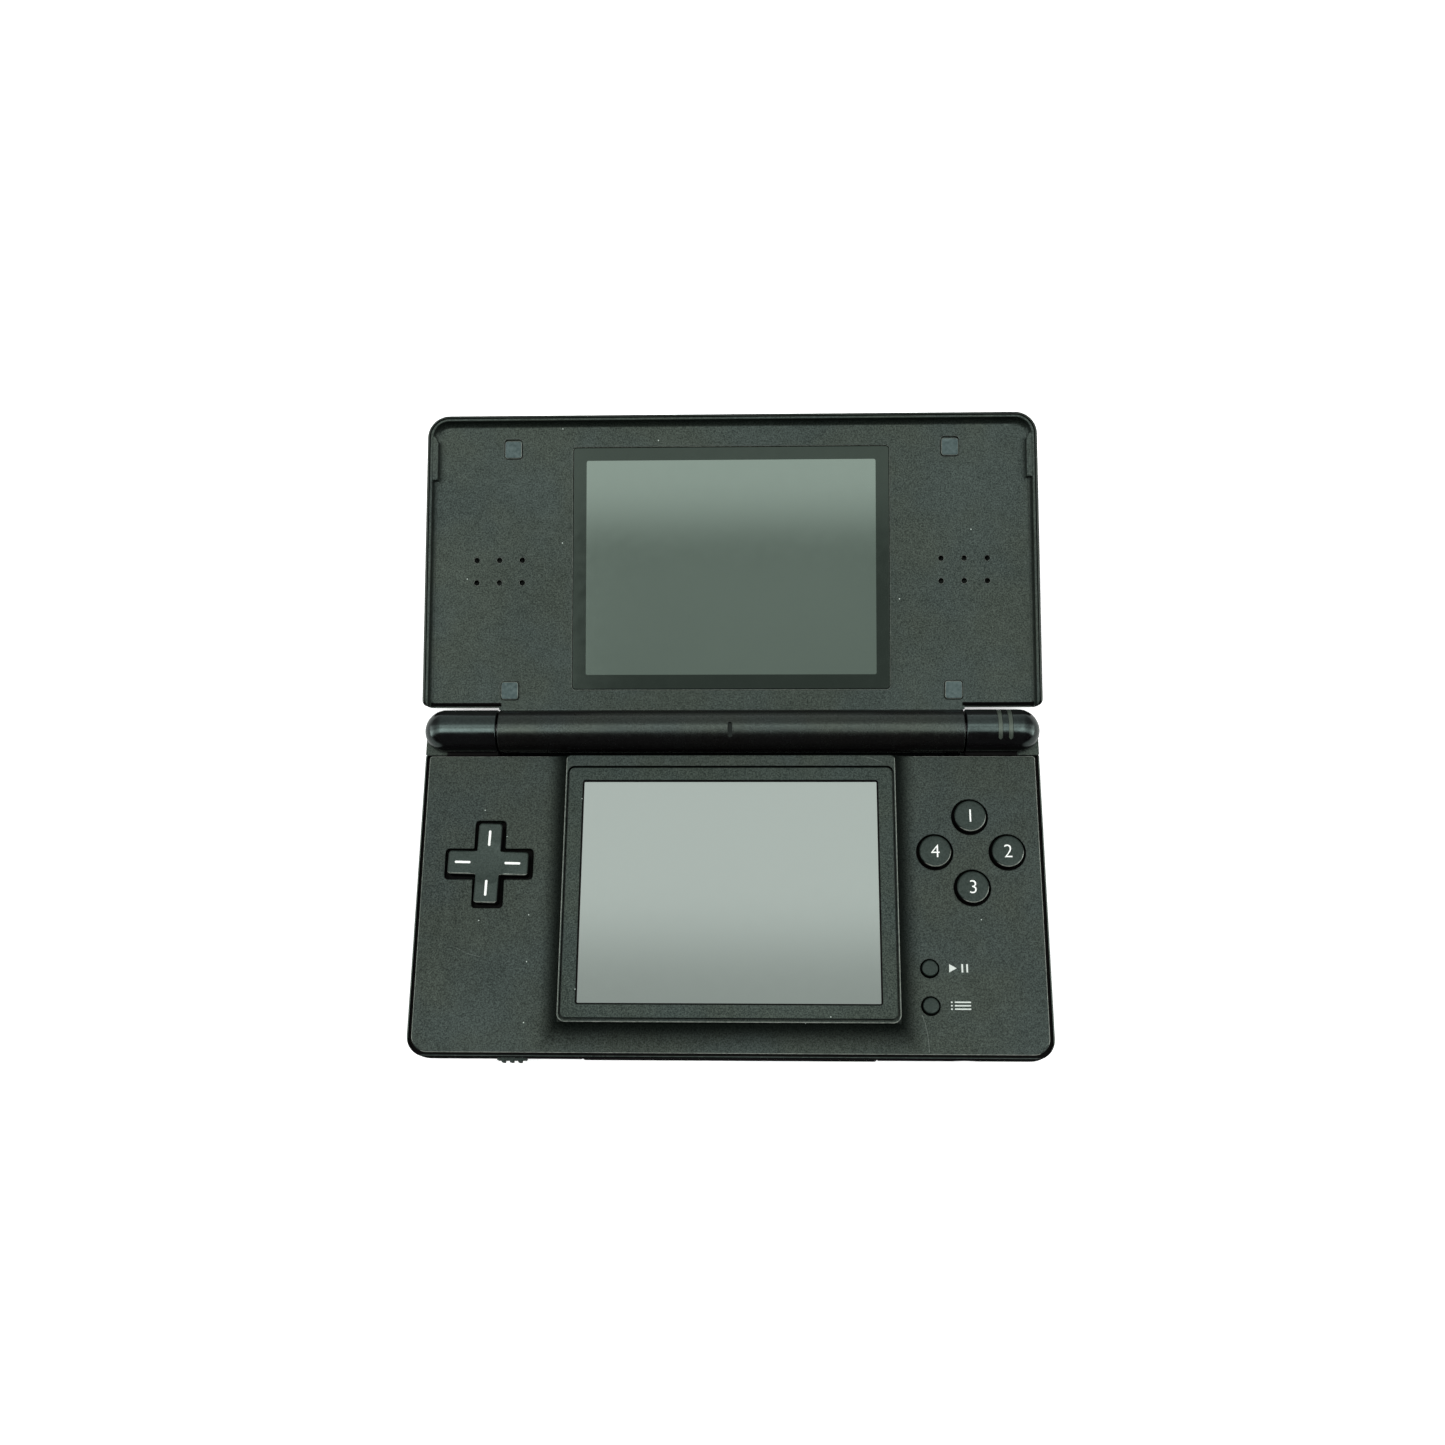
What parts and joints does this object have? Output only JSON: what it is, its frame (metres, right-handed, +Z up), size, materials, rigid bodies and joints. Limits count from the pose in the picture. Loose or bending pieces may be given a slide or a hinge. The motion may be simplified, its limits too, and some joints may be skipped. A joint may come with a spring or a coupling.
{
  "type": "clamshell handheld game",
  "caption": "Clamshell handheld game console with a screen in each half, direction pad, round action buttons and a tubular hinge, open nearly flat.",
  "frame": {"origin": "on the flat underside, straight below the hinge axis, midway between the sides", "axes": "+X to the player's right, +Y away from the player along the opened lid, +Z up out of the base face"},
  "size_m": [0.1336, 0.1387, 0.0298],
  "materials": {
    "shell": "gloss",
    "knuckle": "gloss",
    "face": "fine matte texture",
    "bezel": "fine matte texture",
    "key": "satin",
    "lens": "gloss",
    "panel": "gloss",
    "display": "satin",
    "window": "satin",
    "rubber": "matte",
    "silicone": "matte",
    "board": "satin",
    "cell": "wrapped in film",
    "steel": "zinc plated",
    "inner": "moulded",
    "stylus": "satin",
    "dust_cover": "satin"
  },
  "bodies": {
    "base": {"base_cover": "shell", "base_face": "face", "screen_bezel": "bezel", "touch_panel": "panel", "lower_lcd": "display", "knuckle_right": "knuckle", "knuckle_left": "knuckle", "light_window_1": "window", "light_window_2": "window", "hinge_clutch": "steel", "main_board": "board", "dpad_contacts": "silicone", "action_contacts": "silicone", "option_contacts": "silicone", "battery": "cell", "battery_cover": "shell", "battery_screw": "steel", "case_screw_1": "steel", "case_screw_2": "steel", "case_screw_3": "steel", "case_screw_4": "steel", "card_reader": "inner", "slot_housing": "inner", "charge_socket": "inner", "audio_jack": "inner", "stylus_silo": "inner", "radio_board": "board", "shoulder_pin_left": "steel", "shoulder_pin_right": "steel"},
    "lid": {"lid_cover": "shell", "lid_face": "face", "upper_lens": "lens", "upper_lcd": "display", "pad_far_left": "rubber", "pad_far_right": "rubber", "pad_near_left": "rubber", "pad_near_right": "rubber", "speaker_left": "inner", "speaker_right": "inner", "microphone": "steel", "hinge_pin": "steel"},
    "dpad_gimbal": {"dpad_pivot": "silicone"},
    "dpad": {"dpad": "key"},
    "action_top": {"action_top": "key"},
    "action_right": {"action_right": "key"},
    "action_bottom": {"action_bottom": "key"},
    "action_left": {"action_left": "key"},
    "start_button": {"start_button": "key"},
    "select_button": {"select_button": "key"},
    "shoulder_right": {"shoulder_right": "shell"},
    "shoulder_left": {"shoulder_left": "shell"},
    "power_slider": {"power_slider": "key"},
    "volume_slider": {"volume_slider": "key"},
    "stylus": {"stylus": "stylus"},
    "slot_cover": {"slot_cover": "dust_cover"}
  },
  "joints": [
    {"name": "lid_hinge", "type": "hinge", "parent": "base", "child": "lid", "pos_m": [0, 0, 0.0126], "axis": [1, 0, 0], "range_deg": [0, 165.9]},
    {"name": "dpad_up_down", "type": "hinge", "parent": "base", "child": "dpad_gimbal", "pos_m": [-0.0512, -0.0292, 0.0088], "axis": [1, 0, 0], "range_deg": [-3, 3], "stiffness_Nm_per_rad": 0.15},
    {"name": "dpad_left_right", "type": "hinge", "parent": "dpad_gimbal", "child": "dpad", "pos_m": [-0.0512, -0.0292, 0.0088], "axis": [0, 1, 0], "range_deg": [-3, 3], "stiffness_Nm_per_rad": 0.15},
    {"name": "action_top_press", "type": "slide", "parent": "base", "child": "action_top", "axis": [0, 0, -1], "range_m": [0, 0.0007], "stiffness_N_per_m": 800, "springref_m": -0.0005},
    {"name": "action_right_press", "type": "slide", "parent": "base", "child": "action_right", "axis": [0, 0, -1], "range_m": [0, 0.0007], "stiffness_N_per_m": 800, "springref_m": -0.0005},
    {"name": "action_bottom_press", "type": "slide", "parent": "base", "child": "action_bottom", "axis": [0, 0, -1], "range_m": [0, 0.0007], "stiffness_N_per_m": 800, "springref_m": -0.0005},
    {"name": "action_left_press", "type": "slide", "parent": "base", "child": "action_left", "axis": [0, 0, -1], "range_m": [0, 0.0007], "stiffness_N_per_m": 800, "springref_m": -0.0005},
    {"name": "start_press", "type": "slide", "parent": "base", "child": "start_button", "axis": [0, 0, -1], "range_m": [0, 0.0005], "stiffness_N_per_m": 800, "springref_m": -0.0005},
    {"name": "select_press", "type": "slide", "parent": "base", "child": "select_button", "axis": [0, 0, -1], "range_m": [0, 0.0005], "stiffness_N_per_m": 800, "springref_m": -0.0005},
    {"name": "shoulder_right_press", "type": "hinge", "parent": "base", "child": "shoulder_right", "pos_m": [0.0487, -0.0022, 0.0045], "axis": [0, 0, -1], "range_deg": [0, 1.5], "stiffness_Nm_per_rad": 0.3, "springref_deg": -2.29},
    {"name": "shoulder_left_press", "type": "hinge", "parent": "base", "child": "shoulder_left", "pos_m": [-0.0487, -0.0022, 0.0045], "axis": [0, 0, 1], "range_deg": [0, 1.5], "stiffness_Nm_per_rad": 0.3, "springref_deg": -2.29},
    {"name": "power_slide", "type": "slide", "parent": "base", "child": "power_slider", "axis": [0, 1, 0], "range_m": [0, 0.003], "stiffness_N_per_m": 200, "springref_m": -0.002},
    {"name": "volume_slide", "type": "slide", "parent": "base", "child": "volume_slider", "axis": [1, 0, 0], "range_m": [0, 0.0062]},
    {"name": "stylus_slide", "type": "slide", "parent": "base", "child": "stylus", "axis": [1, 0, 0], "range_m": [0, 0.088]},
    {"name": "slot_cover_slide", "type": "slide", "parent": "base", "child": "slot_cover", "axis": [0, -1, 0], "range_m": [0, 0.024]}
  ]
}
